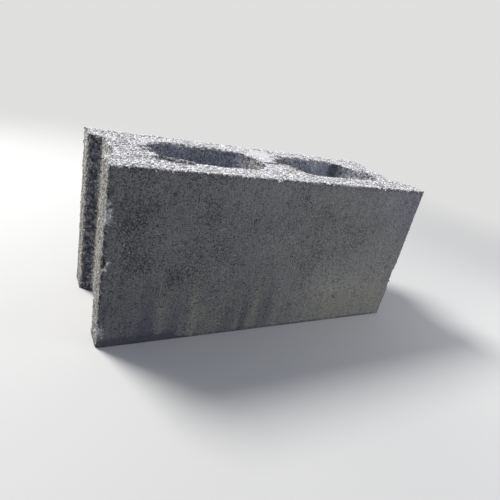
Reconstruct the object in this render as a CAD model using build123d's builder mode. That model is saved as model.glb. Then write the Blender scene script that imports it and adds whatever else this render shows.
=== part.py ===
from build123d import *
import os
from math import radians, tan

# A hollow concrete block with two cores, cast as one piece in a steel mould.
# Lengths are in millimetres and angles in degrees. The block stands as it was cast:
# +X runs along it, +Y across it and +Z up, away from the pallet that it was cast on.
# The origin is the centre of its bottom bed.

# Size of the block over its outer faces
block_length = 400.0
block_width = 150.0
block_height = 190.0

# Walls, measured at the top bed, where the cores are widest
face_shell = 30.0  # long wall, front and rear
centre_web = 26.0  # cross wall between the two cores
end_web = 40.0  # cross wall between a core and the floor of the end keyway

# Cores: the formers that shape them are drawn out of the top, so they lean inwards
core_end_flat = 10.0  # straight stretch in the middle of each rounded end
core_draft = 0.6  # lean of the core's wall
core_rim = 2.5  # rounding where the core meets the top bed

# Keyway down the middle of each end, which takes the mortar of the upright joint
keyway_mouth = 90.0
keyway_floor = 70.0
keyway_depth = 13.0
keyway_root = 4.0  # rounding at the foot of the flared sides
keyway_lip = 2.0  # rounding where the flared sides meet the end flanges

# Outer edges of the block
corner_rounding = 3.0  # the four upright corners
bed_arris = 1.0  # edge all round the top bed

# Shallow trace across the webs, left by the bar that carries the core formers
bar_trace_width = 2.5
bar_trace_depth = 1.5

# Sizes worked out from those above
core_length = (block_length - 2 * keyway_depth - 2 * end_web - centre_web) / 2
core_width = block_width - 2 * face_shell
core_corner = (core_width - core_end_flat) / 2
core_spacing = core_length + centre_web
core_lean = block_height * tan(radians(core_draft))

os.makedirs("parts", exist_ok=True)


with BuildPart() as concrete_block:
    # Outline of the block from above: one quarter, from the middle of the rear face
    # round to the middle of the keyway floor, and its three mirror images
    with BuildSketch():
        with BuildLine():
            FilletPolyline(
                (0, block_width / 2),
                (block_length / 2, block_width / 2),
                (block_length / 2, keyway_mouth / 2),
                (block_length / 2 - keyway_depth, keyway_floor / 2),
                (block_length / 2 - keyway_depth, 0),
                radius=(corner_rounding, keyway_lip, keyway_root),
            )
            mirror(about=Plane.YZ)
            mirror(about=Plane.XZ)
        make_face()
    extrude(amount=block_height)

    # Arris of the top bed, before the cores open through it
    top_bed = concrete_block.faces().sort_by(Axis.Z)[-1]
    fillet(top_bed.edges(), bed_arris)

    # Both cores, drawn at the top bed and narrowing towards the bottom bed
    with BuildSketch(Plane.XY.offset(block_height)):
        with GridLocations(core_spacing, 0, 2, 1):
            RectangleRounded(core_length, core_width, core_corner)
    extrude(amount=-block_height, taper=core_draft, mode=Mode.SUBTRACT)
    top_bed = concrete_block.faces().sort_by(Axis.Z)[-1]
    fillet(top_bed.inner_wires().edges(), core_rim)

    # Bar trace: one shallow groove along the middle, which only the webs carry
    with BuildSketch(Plane.YZ.offset(-block_length / 2)):
        with BuildLine():
            Polyline(
                (-bar_trace_width / 2, block_height),
                (0, block_height - bar_trace_depth),
                (bar_trace_width / 2, block_height),
                close=True,
            )
        make_face()
    extrude(amount=block_length, mode=Mode.SUBTRACT)

concrete_block.part.label = "concrete_block"
export_step(concrete_block.part, "parts/concrete_block.step")

bottom_core = (core_length - 2 * core_lean, core_width - 2 * core_lean)
print(f"Core at the top bed: {core_length:.1f} x {core_width:.1f}, corners {core_corner:.1f}")
print(f"Core at the bottom bed: {bottom_core[0]:.1f} x {bottom_core[1]:.1f}")
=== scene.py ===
from math import pi, radians
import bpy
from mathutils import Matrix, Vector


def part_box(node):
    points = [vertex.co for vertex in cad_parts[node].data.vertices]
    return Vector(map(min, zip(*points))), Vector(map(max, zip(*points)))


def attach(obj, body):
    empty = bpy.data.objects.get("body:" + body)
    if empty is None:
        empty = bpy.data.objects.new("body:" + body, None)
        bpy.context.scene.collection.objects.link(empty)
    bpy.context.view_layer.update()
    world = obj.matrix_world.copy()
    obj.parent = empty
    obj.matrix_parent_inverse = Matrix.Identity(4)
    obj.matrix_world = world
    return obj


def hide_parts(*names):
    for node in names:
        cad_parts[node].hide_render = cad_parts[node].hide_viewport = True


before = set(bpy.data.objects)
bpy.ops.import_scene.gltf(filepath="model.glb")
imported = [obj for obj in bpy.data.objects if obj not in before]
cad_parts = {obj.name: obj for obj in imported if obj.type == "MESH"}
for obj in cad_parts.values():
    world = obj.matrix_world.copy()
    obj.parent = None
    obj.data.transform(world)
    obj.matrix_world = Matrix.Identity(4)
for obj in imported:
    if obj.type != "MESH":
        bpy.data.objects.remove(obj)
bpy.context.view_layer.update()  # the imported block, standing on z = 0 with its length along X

from types import SimpleNamespace

import bpy
import numpy as np
from mathutils import Quaternion, Vector

# A skin follows the block's solid, moved inwards by computed relief, and loose grain lies on it

# Sizes of the block in millimetres: the outer ones from the imported block, the rest as in its solid
MM = 0.001
lowest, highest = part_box("concrete_block")
LENGTH, WIDTH, HEIGHT = (highest - lowest) / MM
FACE_SHELL = 30.0
CENTRE_WEB = 26.0
END_WEB = 40.0
CORE_END_FLAT = 10.0
CORE_LEAN = 2.0  # how much further in a core's wall stands at its foot than at the top bed
CORE_RIM = 2.5
KEYWAY_MOUTH = 90.0
KEYWAY_FLOOR = 70.0
KEYWAY_DEPTH = 13.0
KEYWAY_ROOT = 4.0
KEYWAY_LIP = 2.0
CORNER = 3.0
ARRIS = 1.0
FOOT = 0.6  # edge all round the bottom bed
TRACE_WIDTH = 2.5
TRACE_DEPTH = 1.5
CORE_LENGTH = (LENGTH - 2 * KEYWAY_DEPTH - 2 * END_WEB - CENTRE_WEB) / 2
CORE_WIDTH = WIDTH - 2 * FACE_SHELL
CORE_CORNER = (CORE_WIDTH - CORE_END_FLAT) / 2
CORE_MIDDLE = (CORE_LENGTH + CENTRE_WEB) / 2
RIM_FOOT = HEIGHT - CORE_RIM
ARRIS_FOOT = HEIGHT - ARRIS

# How closely the points of the skin lie, in millimetres
COLUMN_GAP = 2.1
CORNER_GAP = 1.05
TRACE_GAP = 0.8
PATH_STEP = 0.25
CORNER_CALM = (3, 14)  # distances from a corner between which the gap widens
EDGE_REACH = 5.0  # how far from an edge the direction of the relief starts to turn over it

# How many rows of points the section has up a core's wall, across the top bed and under the
# block, and how many fine points the cut through the middle has before they are spaced
CORE_ROWS = 27
BED_ROWS = 25
UNDER_ROWS = 7
CUT_POINTS = 601

# Flat map of the skin in millimetres: the side of its square, the lengths of one half's outer
# walls and of one core's, where both start, and the middles of the top bed and the underside
MAP_SHEET = 960
MAP_WALLS = 565
MAP_CORE = 385
MAP_SHELVES = (2, 204)
MAP_WALL_START = (2, 1)
MAP_CORE_START = (570, 193)
MAP_TOP_BED = (205, 485)
MAP_UNDERSIDE = (615, 485)


# Random fields over space, where each use of a field has a seed of its own

def lattice(cell, seed):
    """One repeatable random number from 0 to 1 for each whole-numbered cell of space: its three
    numbers times primes, added up and then stirred by shifts and products within 32 bits."""
    mixed = ((cell * (73856093, 19349663, 83492791)).sum(-1) + seed * 40503) & 0xFFFFFFFF
    mixed = ((mixed ^ (mixed >> 13)) * 1274126177) & 0xFFFFFFFF
    mixed = ((mixed ^ (mixed >> 15)) * 1103515245) & 0xFFFFFFFF
    return (mixed >> 8) / 0xFFFFFF


def noise(place, size, seed):
    """Smooth field from -1 to 1 with lumps about `size` wide: the random numbers at the eight
    corners of a point's cell, blended along each axis by 3t^2 - 2t^3."""
    at = place / size
    cell = np.floor(at).astype(np.int64)
    part = at - cell
    part = part * part * (3 - 2 * part)
    total = 0.0
    for corner in np.ndindex(2, 2, 2):
        total = total + np.where(corner, part, 1 - part).prod(-1) * lattice(cell + corner, seed)
    return 2 * total - 1


def fractal(place, size, octaves, seed):
    """Noises added up, each half as wide and 0.55 as high as the one before, about -1 to 1."""
    heights = 0.55 ** np.arange(octaves)
    layers = [h * noise(place, size * 0.5**k, seed + k) for k, h in enumerate(heights)]
    return 1.5 * sum(layers) / heights.sum()


def hollows(place, size, share, seed):
    """Depth from 0 to 1 of round pits. A cell of space `size` wide holds one where its random
    number is under `share`, at a random place and 0.25 to 0.5 of a cell in radius. Its depth is
    1 - (distance / radius)^2."""
    at = place / size
    cell = np.floor(at).astype(np.int64)
    deepest = np.zeros(len(at))
    for step in np.ndindex(3, 3, 3):
        beside = cell + step - 1
        middle = beside + 0.2 + 0.6 * np.stack([lattice(beside, seed + k) for k in range(3)], -1)
        radius = 0.25 + 0.25 * lattice(beside, seed + 3)
        depth = 1 - ((at - middle) ** 2).sum(-1) / radius**2
        deepest = np.maximum(deepest, np.where(lattice(beside, seed + 4) < share, depth, 0))
    return deepest


def rise(value, low, high):
    """0 below `low`, 1 above `high` and 3t^2 - 2t^3 between them."""
    t = np.clip((value - low) / (high - low), 0, 1)
    return t * t * (3 - 2 * t)


def near(distance, reach):
    """1 at no distance, falling as exp(-(distance / reach)^2)."""
    return np.exp(-((distance / reach) ** 2))


# The plan of the block

def rounded_path(corners, radii):
    """Fine points along straight runs. Each inner corner K is cut by the curve
    (1-t)^2 A + 2t(1-t) K + t^2 B between the points A and B that lie its radius from K."""
    corners = np.array(corners, float)
    pieces, start = [], corners[0]
    for before, at, after, radius in zip(corners, corners[1:], corners[2:], radii):
        a = at + radius * (before - at) / np.linalg.norm(before - at)
        b = at + radius * (after - at) / np.linalg.norm(after - at)
        run = np.linspace(0, 1, int(np.linalg.norm(a - start) / PATH_STEP), endpoint=False)[:, None]
        pieces.append(start + run * (a - start))
        t = np.linspace(0, 1, int(1.6 * radius / PATH_STEP), endpoint=False)[:, None]
        pieces.append((1 - t) ** 2 * a + 2 * t * (1 - t) * at + t**2 * b)
        start = b
    run = np.linspace(0, 1, int(np.linalg.norm(corners[-1] - start) / PATH_STEP))[:, None]
    pieces.append(start + run * (corners[-1] - start))
    return np.concatenate(pieces)


def left_outline():
    """Outline of the left half, from the middle of the rear face round the left end to the middle
    of the front face: its points, its outward directions, the same directions averaged over
    EDGE_REACH each way, and its six corners."""
    x, y, mouth, bottom = -LENGTH / 2, WIDTH / 2, KEYWAY_MOUTH / 2, KEYWAY_FLOOR / 2
    corners = [(0, y), (x, y), (x, mouth), (x + KEYWAY_DEPTH, bottom),
               (x + KEYWAY_DEPTH, -bottom), (x, -mouth), (x, -y), (0, -y)]
    path = rounded_path(corners, [CORNER, KEYWAY_LIP, KEYWAY_ROOT, KEYWAY_ROOT, KEYWAY_LIP, CORNER])
    along = np.gradient(path, axis=0)
    outward = np.stack([along[:, 1], -along[:, 0]], 1) / np.linalg.norm(along, axis=1)[:, None]
    reach = int(EDGE_REACH / PATH_STEP)
    padded = np.pad(outward, ((reach, reach), (0, 0)), mode="edge")
    window = np.hanning(2 * reach + 3)[1:-1]
    slow = np.stack([np.convolve(padded[:, k], window, "valid") for k in (0, 1)], 1)
    return path, outward, slow / np.linalg.norm(slow, axis=1)[:, None], np.array(corners[1:-1])


def spaced(path, gap, *fields):
    """The path, and fields given along it, read at stops that lie `gap` apart: even steps of the
    running sum of length divided by gap."""
    step = np.linalg.norm(np.diff(path, axis=0), axis=1)
    run = np.concatenate([[0], np.cumsum(2 * step / (gap[1:] + gap[:-1]))])
    stops = np.linspace(0, run[-1], int(np.ceil(run[-1])) + 1)
    return [np.stack([np.interp(stops, run, f[:, k]) for k in (0, 1)], 1) for f in (path, *fields)]


def core_edge(plan):
    """The point of the left core's edge at the top bed that lies in the same direction from the
    core's middle as each given point, and the edge's direction away from the core there. The edge
    is a rectangle with corner circles: corner middle + radius * (cos, sin)."""
    half = np.array([CORE_LENGTH, CORE_WIDTH]) / 2 - CORE_CORNER
    turn = np.linspace(-pi, pi, 1441)
    arc = np.stack([np.cos(turn), np.sin(turn)], 1)
    point = np.sign(arc) * half + CORE_CORNER * arc
    seen = np.arctan2(point[:, 1], point[:, 0])
    order = np.argsort(seen)
    angle = np.arctan2(plan[:, 1], plan[:, 0] + CORE_MIDDLE)
    edge = [np.interp(angle, seen[order], point[order, k], period=2 * pi) for k in (0, 1)]
    edge = np.stack(edge, 1)
    away = edge - np.clip(edge, -half, half)
    return edge - (CORE_MIDDLE, 0), away / np.linalg.norm(away, axis=1)[:, None]


def core_distance(place):
    """Distance in plan from the nearer core's edge at the top bed, negative inside the core."""
    half = np.array([CORE_LENGTH, CORE_WIDTH]) / 2 - CORE_CORNER
    beyond = np.abs(np.abs(place[:, :2]) - (CORE_MIDDLE, 0)) - half
    return np.linalg.norm(np.maximum(beyond, 0), axis=1) + np.minimum(beyond.max(1), 0) - CORE_CORNER


# The block's skin

def over_edge(distance):
    """Share of the next face's direction at a distance from their edge: (1 - d / EDGE_REACH)^2."""
    return np.maximum(0, 1 - distance / EDGE_REACH) ** 2


def stops_round_half():
    """Where the section stops on its way round the left half: along the outline, closer at its
    corners and at the bar's trace, and back along the cut through the middle of the block. Gives
    the stops, the outer face's direction at each, that direction as it turns slowly round the
    corners (both are 0 on the cut), and how many stops lie on the outline."""
    path, outward, slow, corners = left_outline()
    to_corner = np.linalg.norm(path[:, None] - corners, axis=2).min(1)
    gap = CORNER_GAP + (COLUMN_GAP - CORNER_GAP) * rise(to_corner, *CORNER_CALM)
    in_keyway = path[:, 0] < -LENGTH / 4
    to_trace = np.where(in_keyway, np.abs(path[:, 1]), LENGTH)
    outer, face, slow = spaced(path, np.minimum(gap, TRACE_GAP + to_trace / 5), outward, slow)
    count = len(outer)

    middle = np.linspace(ARRIS - WIDTH / 2, WIDTH / 2 - ARRIS, CUT_POINTS)
    cut_gap = np.minimum(COLUMN_GAP, TRACE_GAP + np.abs(middle) / 5)
    cut = spaced(np.stack([0 * middle, middle], 1), cut_gap)[0][1:-1]
    outer = np.concatenate([outer, cut])
    return outer, np.concatenate([face, 0 * cut]), np.concatenate([slow, 0 * cut]), count


def section_rows(outer, face, slow, core, away):
    """The section at all stops at once, as rows of points. It runs up the core's wall, over its
    rim by radius * (1 - cos, sin), out across the bed by (1 - t) * rim + t * arris, over the
    arris, down the outer face and in under the bottom bed. Gives the points, the outward
    directions and the lengths down the flat map, and at which rows the bed, the outer wall and
    the foot begin."""
    rows, ways, down_length = [], [], []

    def row(plan, z, way, up, length):
        """Adds a row at height z, whose direction is `way` in plan and `up` upwards."""
        rows.append(np.column_stack([plan, np.full(len(plan), z)]))
        ways.append(np.column_stack([way, np.full(len(plan), up)]))
        down_length.append(length)

    closing = np.geomspace(1, 0.01, CORE_ROWS)
    for z in FOOT + (RIM_FOOT - FOOT) * (1 - closing) / (1 - closing[-1]):
        lean = CORE_LEAN * (1 - z / HEIGHT)
        row(core - lean * away, z, -away, over_edge(HEIGHT - z) - over_edge(z), -z)
    for turn in np.radians([22.5, 45, 67.5]):
        in_plan = core + CORE_RIM * (1 - np.cos(turn)) * away
        row(in_plan, RIM_FOOT + CORE_RIM * np.sin(turn), -away, 1, -RIM_FOOT - CORE_RIM * turn)
    bed_start = len(rows)
    bed_in, bed_out = core + CORE_RIM * away, outer - ARRIS * face
    bed_width = np.linalg.norm(bed_out - bed_in, axis=1)[:, None]
    steps = np.linspace(0, 1, BED_ROWS)
    for t in steps / 2 + (1 - np.cos(pi * steps)) / 4:
        over_rim = over_edge(t * bed_width + CORE_RIM)
        over_side = over_edge((1 - t) * bed_width + ARRIS)
        row((1 - t) * bed_in + t * bed_out, HEIGHT, slow * over_side - away * over_rim, 1, 0)
    wall_start = len(rows) - 1
    half_way = ARRIS * (1 - np.cos(pi / 4))
    row(outer - half_way * face, HEIGHT - half_way, slow, 1, ARRIS_FOOT + ARRIS * pi / 4)
    growing, even, shrinking = np.linspace(1.1, 2.5, 8), [2.7] * 60, np.linspace(2.5, 1.1, 8)
    fall = np.cumsum([0, *growing, *even, *shrinking])
    for z in ARRIS_FOOT - (ARRIS_FOOT - FOOT) * fall / fall[-1]:
        row(outer, z, slow, over_edge(HEIGHT - z) - over_edge(z), z)
    row(outer - FOOT * face, 0, slow, -1, -FOOT)
    wall_end = len(rows) - 1
    foot_out, foot_in = outer - FOOT * face, core + (FOOT - CORE_LEAN) * away
    for t in np.linspace(0, 1, UNDER_ROWS)[1:]:
        row((1 - t) * foot_out + t * foot_in, 0, -away * (t == 1), -1, 0)
    points, ways = np.stack(rows, 1), np.stack(ways, 1)
    ways /= np.maximum(np.linalg.norm(ways, axis=2, keepdims=True), 0.001)
    return points, ways, down_length, (bed_start, wall_start, wall_end)


def run_round(plan):
    """Length along a closed run of points, from the first to each one and back to the first."""
    return np.cumsum([0, *np.linalg.norm(np.diff(plan, axis=0, append=plan[:1]), axis=1)])


def left_half():
    """Left half of the skin: the section carried round the core, closed from its last row to its
    first and from its last stop to its first, with no outer face on the cut. Gives the points and
    outward directions as grids of stops by rows, and the quads with their corners on a flat map
    in millimetres, which has the walls unrolled and the beds as seen from above and below."""
    outer, face, slow, count = stops_round_half()
    core, away = core_edge(outer)
    points, ways, down_length, starts = section_rows(outer, face, slow, core, away)
    bed_start, wall_start, wall_end = starts
    columns, depth = points.shape[:2]
    i, j = np.meshgrid(np.arange(columns), np.arange(depth), indexing="ij")
    kept = (i < count - 1) | (j < wall_start) | (j >= wall_end)
    i, j = i[kept], j[kept]
    corner_i, corner_j = np.stack([i, i, i + 1, i + 1], 1), np.stack([j, j + 1, j + 1, j], 1)
    quads = corner_i % columns * depth + corner_j % depth

    plan = points[corner_i % columns, corner_j % depth, :2]
    length = np.array([*down_length, 0])[corner_j]
    on_wall = ((j >= wall_start) & (j < wall_end))[:, None]
    top_edge = (corner_j == wall_start) & on_wall
    length = np.where(top_edge, ARRIS_FOOT + ARRIS * pi / 2, length)
    rim_edge = (corner_j == bed_start) & (j < bed_start)[:, None]
    length = np.where(rim_edge, -RIM_FOOT - CORE_RIM * pi / 2, length)
    wall_run, core_run = run_round(outer)[corner_i], run_round(core)[corner_i]
    kind = np.select([j < bed_start, j < wall_start, j < wall_end], [0, 1, 2], 3)
    return points, ways, quads, kind, plan, length, wall_run, core_run


def block_skin():
    """Whole skin: the left half and its mirror image, which share their points on the cut. Gives
    the points, their outward directions, the quads, and each quad corner's place on the flat map,
    where each half's walls, each half's core and the two beds lie side by side."""
    points, ways, quads, kind, plan, length, wall_run, core_run = left_half()
    points, ways = points.reshape(-1, 3), ways.reshape(-1, 3)
    all_points, all_ways, all_quads, all_maps = [], [], [], []
    for side, shelf in zip((1, -1), MAP_SHELVES):
        flip = (side, 1, 1)
        plan_x, plan_y = plan[..., 0] * side, plan[..., 1]
        walls_u = wall_run if side == 1 else MAP_WALLS - wall_run
        cores_u = core_run if side == 1 else MAP_CORE - core_run
        runs = [(cores_u, shelf + length), (plan_x, plan_y),
                (walls_u, shelf + length), (plan_x, -plan_y)]
        starts = MAP_CORE_START, MAP_TOP_BED, MAP_WALL_START, MAP_UNDERSIDE
        spots = [np.stack(run, -1) + start for run, start in zip(runs, starts)]
        picked = kind[:, None, None] * np.ones((1, 4, 2))
        flat = np.select([picked == k for k in range(4)], spots) / MAP_SHEET
        order = slice(None, None, side)
        all_quads.append(quads[:, order] + len(points) * len(all_points))
        all_maps.append(flat[:, order])
        all_points.append(points * flip)
        all_ways.append(ways * flip)
    place, ways, quads = map(np.concatenate, (all_points, all_ways, all_quads))
    used, quads_used = np.unique(quads, return_inverse=True)
    place, ways = place[used], ways[used]
    steps = np.round(place * 1000)
    _, first, same = np.unique(steps, axis=0, return_index=True, return_inverse=True)
    quads = same.reshape(-1)[quads_used.reshape(quads.shape)]
    return place[first], ways[first], quads, np.concatenate(all_maps)


# Relief of the surfaces, as depth below the moulded face in millimetres

# Places on the front face where pits crowd, as (x, z, reach)
PIT_CROWDS = [(-175, 139, 22), (-98, 143, 12), (-168, 98, 16), (-126, 79, 10), (16, 163, 9),
              (47, 155, 9), (54, 103, 9), (46, 77, 8), (149, 34, 9), (190, 60, 14)]

# Broad changes of tone on the front face, as (x, z, reach along, reach up, change)
SHADES = [(-175, 25, 50, 45, -0.24), (-25, 30, 50, 42, -0.12), (85, 48, 70, 36, 0.20),
          (182, 150, 45, 50, -0.17), (-5, 178, 45, 20, 0.11)]

# Warmer and cooler parts of the front face, in the same way
TINTS = [(60, 110, 120, 70, 0.15), (120, 28, 90, 40, 0.7), (192, 172, 45, 42, -0.9),
         (-178, 12, 55, 22, -0.7)]

# Streaks that water left low on the front face, as (x, half width, top, change of tone)
STREAKS = [(-152, 7, 60, -0.12), (-136, 6, 85, 0.16), (-121, 7, 60, -0.16), (-98, 7, 90, 0.28),
           (-86, 5, 60, 0.12), (-72, 6, 60, 0.14), (-54, 6, 50, -0.14), (-43, 4, 60, 0.12),
           (-34, 4, 50, -0.20), (-20, 6, 75, 0.24), (-1, 7, 80, -0.18)]

# Broken places on the top bed, as (x, y, reach, depth, how much painted shade darkens its hollows):
# two at the left core's tip, four round the end of the right core, a notch near the front edge and
# one in the rear edge
BROKEN = [(-151, 9, 5, 1.5, 0.5), (-151, -5, 5, 1.5, 0.6),
          (158, 3, 8, 3, 0.3), (157, -7, 9, 4, 1.0), (151, -23, 8, 5, 0.8), (141, -36, 7, 4, 0.5),
          (128, -64, 5, 3.5, 1.0), (-165, 76, 4, 3.5, 0.5)]

# Chips out of the upright edge at the front left, as (x, z, reach, depth): three small ones beside
# the dark hole and three larger ones
CHIPS = [(-194, 98, 2.0, 0.4), (-194.3, 94.5, 2.0, 0.4), (-196, 89.5, 2.2, 0.6),
         (-199, 142, 8, 2.2), (-199, 154, 4, 1.8), (-199, 18, 8, 2.8)]

# The hole's dark is painted shade in its depth
HOLE = (-199.5, 95.5, 4.8)  # small dark hole in that edge: x, z, reach
HOLE_DEPTH = 2.5

# Places on the cores' edges where the mortar slumped inwards to a low shelf behind a standing lip,
# as (x, y, reach, how far it slumped, how dark the shelf is)
SLUMPS = [(-146, 6, 8, 3, 0.7), (-146, -12, 7, 3, 0.8), (-140, -27, 6, 3, 1.0),
          (-132, -36, 6, 6, 1.0), (-123, -41, 5, 11, 1.0), (-115, -44, 5, 6, 1.0),
          (16, 17, 6, 4, 0.3), (24, 33, 10, 12, 0.5), (24, -32, 7, 5, 0.1),
          (17, -23, 3.5, 12, 0.3), (14, -11, 6.5, 11, 0.15), (104, -45, 10, 7, 0.15)]
LIP_FALL = 5.0  # how far down the core's wall the crest of a slumped lip comes from
SHELF_FALL = 1.5  # how far a slumped shelf lies below the moulded bed

# Dark ledge outside the left core's slumped edge, as circles (x, y, reach), and how low it lies
LEDGE = [(-144, -35, 10.5), (-134, -40, 9.5), (-125, -44, 8), (-116, -46, 6)]
LEDGE_DEPTH = 1.2

SMEAR = (14, 32, 22, 32)  # patch that was wiped smooth on the centre web: x, y, half sizes
WIPING = (5, -22, 4.4, 0.22)  # arcs left by wiping: x and y of their middle, spacing, height
STAIN = (46, 184, 11)  # warm stain on the rear wall of the right core: x, z, reach
TRACE_PATH = [(-13, -2.2), (13, -0.8)]  # where the bar's trace crosses the centre web
TRACE_STEP = 1.4  # how far the bed falls towards the trace on the centre web
TRACE_OPEN = 0.8  # share of the trace's depth that crumbs leave open on the end webs
WORN_STRETCH = [(40, 54), (70, 84)]  # heights where the front right upright's wear starts and ends
# The damp band along the foot is also darkened as painted contact shade
DAMP_AND_SHADE_BAND = (2.5, 10)  # height of the damp band along the foot, and at the left of the front face
SHALLOWEST = 0.04  # least depth of the relief, which keeps it under the moulded face


def smear_at(place):
    """1 in the wiped patch of the top bed and 0 outside it, by its oval distance."""
    x, y, half_x, half_y = SMEAR
    oval = np.hypot((place[:, 0] - x) / half_x, (place[:, 1] - y) / half_y)
    return (1 - rise(oval + 0.25 * noise(place, 8, 71), 0.75, 1.05)) * rise(place[:, 1], 0, 2)


def trace_at(place):
    """Depth from 0 to 1 of the bar's trace on the end webs: 1 - distance / half width, from the
    block's middle line. On the centre web it is a step along a wandering line: the bed falls
    slowly towards it from the front and rises at once behind it. Gives also that fall, the
    painted shadow in front of the step, and where no loose grain lies, each from 0 to 1."""
    (x1, y1), (x2, y2) = TRACE_PATH
    line = y1 + (place[:, 0] - x1) * (y2 - y1) / (x2 - x1) + 0.5 * noise(place, 9, 73)
    on_web = np.abs(place[:, 0]) < CENTRE_WEB
    behind = place[:, 1] - line
    ramp = rise(behind, -16, -2) * (1 - rise(behind, -0.5, 0.4)) * on_web
    wider = 1 + rise(place[:, 0], 2, 13)
    # Painted shadow of the step, on the bed just in front of it
    dark = rise(behind, -4.5 * wider, -3.2 * wider) * (1 - rise(behind, 0.2, 0.9)) * on_web
    bare = rise(behind, -9, -5) * (1 - rise(behind, 0.5, 2)) * on_web
    groove = np.clip(1 - np.abs(place[:, 1]) / (TRACE_WIDTH / 2), 0, 1) * (1 - on_web)
    return groove, ramp, dark, bare


def slump_at(place):
    """How far the mortar slumped into the core at each point: the farthest of its slumps, each
    times exp(-(distance / reach)^2). Also how dark its shelf is, as the slumps' mean weighted by
    their squares, and how much the point lies on the dark ledge, both from 0 to 1."""
    x, y = place[:, 0], place[:, 1]
    pushes = [push * near(np.hypot(x - a, y - b), reach) for a, b, reach, push, _ in SLUMPS]
    pushes = np.array(pushes)
    shares = pushes**2 + 1e-9
    dark = (shares * np.array([[s[-1]] for s in SLUMPS])).sum(0) / shares.sum(0)
    wander = 0.18 * noise(place, 4, 103)
    ledge = [1 - rise(np.hypot(x - a, y - b) / reach + wander, 0.75, 1.0) for a, b, reach in LEDGE]
    return pushes.max(0), dark, np.max(ledge, 0)


def front_tone(place):
    """Change of tone and warmth over the front face. Broad parts change it by
    exp(-(dx / reach)^2 - (dz / reach)^2) and streaks by exp(-(dx / half width)^2), and the streaks
    wander a little and fade out at their tops."""
    x, z = place[:, 0], place[:, 2]
    broad, warm = (sum(c * near(np.hypot((x - a) / u, (z - b) / v), 1) for a, b, u, v, c in spots)
                   for spots in (SHADES, TINTS))
    bent = x + 2.5 * noise(place * (1, 1, 0.25), 9, 111)
    streaks = sum(change * near(bent - a, half) * (1 - rise(z, 0.4 * top, 1.1 * top))
                  for a, half, top, change in STREAKS)
    streaks = streaks * (1 + 0.5 * noise(place * (1, 1, 0.5), 3.2, 113))
    return broad + streaks, np.clip(warm + 3.5 * streaks, -1, 1)


def surroundings(place, ways):
    """What each point lies on and near. Distances run from the edges of the moulded block. Shares
    rise from 0 to 1 as a point's direction turns to a face, or as it nears that face. Crumbs and
    lumps are the random fields that all broken edges share."""
    x, y, z = place.T
    across, up = np.abs(ways[:, 0]), ways[:, 2]
    facing = across / np.maximum(np.hypot(ways[:, 0], ways[:, 1]), 0.1)
    core = core_distance(place)
    flare = (KEYWAY_MOUTH / 2 - np.abs(y)) / (KEYWAY_MOUTH - KEYWAY_FLOOR) * 2
    side_in = KEYWAY_DEPTH * np.clip(flare, 0, 1)
    inset = np.minimum(WIDTH / 2 - np.abs(y), LENGTH / 2 - side_in - np.abs(x))
    uprights = [(LENGTH / 2, WIDTH / 2), (LENGTH / 2, KEYWAY_MOUTH / 2)]
    bed = rise(up, 0.3, 0.95)
    inside = 1 - rise(core, 0.3, 2.2)
    end = rise(np.abs(x), LENGTH / 2 - KEYWAY_DEPTH - 3, LENGTH / 2 - KEYWAY_DEPTH) * (1 - bed)
    end = end * rise(across, 0.3, 0.6)
    outwards = np.sign(x) * (np.abs(x) - CORE_MIDDLE)
    return SimpleNamespace(
        place=place, x=x, y=y, z=z, across=across, facing=facing, core=core, inset=inset,
        below=HEIGHT - z,
        from_arris=np.maximum(inset, 0) + HEIGHT - z,
        from_rim=np.abs(core) + HEIGHT - z,
        from_upright=np.min([np.hypot(np.abs(x) - a, np.abs(y) - b) for a, b in uprights], 0),
        bed=bed, inside=inside, end=end,
        under=rise(-up, 0.3, 0.95),
        front=rise(-y, WIDTH / 2 - 4, WIDTH / 2 - 1) * (1 - bed),
        facing_out=end * rise(across + 0.3 * fractal(place, 3.5, 2, 109), 0.6, 0.78),
        keyway_floor=end * (np.abs(y) < KEYWAY_FLOOR / 2),
        end_wall=rise(facing, 0.60, 0.82) * inside,
        lit_end=rise(outwards, CORE_LENGTH / 2 - 30, CORE_LENGTH / 2 - 12) * near(core, 6),
        smear=smear_at(place) * bed,
        crumbs=np.maximum(hollows(place, 8, 0.35, 91), 0.7 * hollows(place, 4.5, 0.5, 93)),
        lumps=noise(place, 4.5, 97))


def moulded_face(at):
    """Relief of the outer faces: a mean depth, broad lumps, upright scores and pits. There are
    more pits where the grain is open: in the crowds, high up, near the arris and on the ends.
    Gives the depth, the pits as the finish shows them, and how open the grain is from 0 to 1."""
    crowd = sum(near(np.hypot(at.x - a, at.z - b), reach) for a, b, reach in PIT_CROWDS) * at.front
    dry = rise(at.x, 10, 90) * (1 - rise(at.z + 10 * noise(at.place, 30, 7), 50, 100)) * at.front
    open_grain = 0.28 + 0.2 * noise(at.place, 34, 3) + 0.45 * np.minimum(crowd, 1)
    open_grain = open_grain + 0.2 * near(at.from_arris, 5)
    open_grain = open_grain * (1 - 0.5 * dry)
    open_grain = open_grain * (0.5 + 0.5 * rise(at.z + 12 * noise(at.place, 30, 5), 15, 75))
    open_grain = np.clip(open_grain + 0.5 * at.end, 0, 1)
    pits = 1.5 * hollows(at.place, 8, 0.4 * open_grain, 21)
    pits = pits + hollows(at.place, 5, 0.7 * open_grain, 27)
    scores = noise(at.place * (1, 1, 0.07), 2.6, 13)
    depth = 0.3 + 0.2 * fractal(at.place, 15, 3, 11) + 0.12 * scores * (1 - at.end) + 0.3 * at.end
    depth = depth + 0.4 * at.end * noise(at.place, 3.6, 15) + pits
    return depth, pits * (1 + 0.5 * crowd), open_grain


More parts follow.
